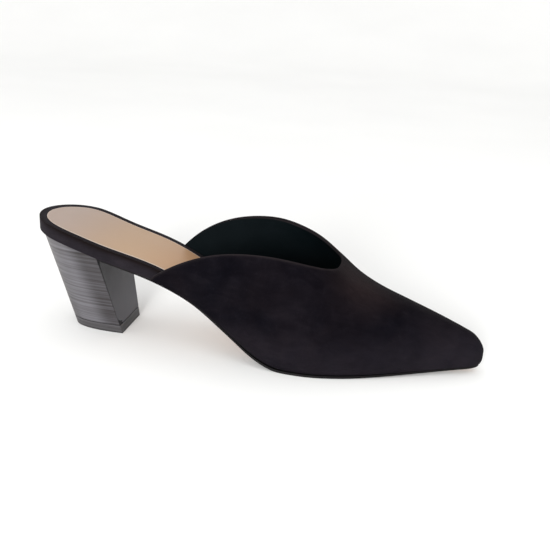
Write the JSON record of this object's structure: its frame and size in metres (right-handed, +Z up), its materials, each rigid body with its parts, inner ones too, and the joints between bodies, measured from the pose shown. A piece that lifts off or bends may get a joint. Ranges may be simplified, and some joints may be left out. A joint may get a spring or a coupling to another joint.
{
  "type": "pointed block-heel mule",
  "caption": "Backless pointed mule for the right foot: suede upper with a V-cut collar, leather sock on a wrapped board, thin sole, raked stacked block heel.",
  "frame": {"origin": "middle of the heel tip's ground face, on the floor", "axes": "+X forward to the toe along the floor, +Y to the wearer's left, +Z up"},
  "size_m": [0.255, 0.0728, 0.0674],
  "materials": {
    "upper_suede": "matt black suede with a short mottled nap, faintly brown over the instep",
    "board_wrap": "matt black suede wrapped round the board, with a darker rim edge",
    "sock_leather": "smooth tan leather, paler and greyer at the seat, with a light cut edge",
    "outsole_leather": "smooth tan leather with a thin black painted edge",
    "heel_stack": "stacked leather stained black-brown, fine level lines, half-gloss polish",
    "tip_rubber": "matt black rubber"
  },
  "bodies": {
    "root": {"upper": "upper_suede", "insole_board": "board_wrap", "insole_sock": "sock_leather", "outsole": "outsole_leather", "heel_block": "heel_stack", "heel_tip": "tip_rubber"}
  },
  "joints": []
}
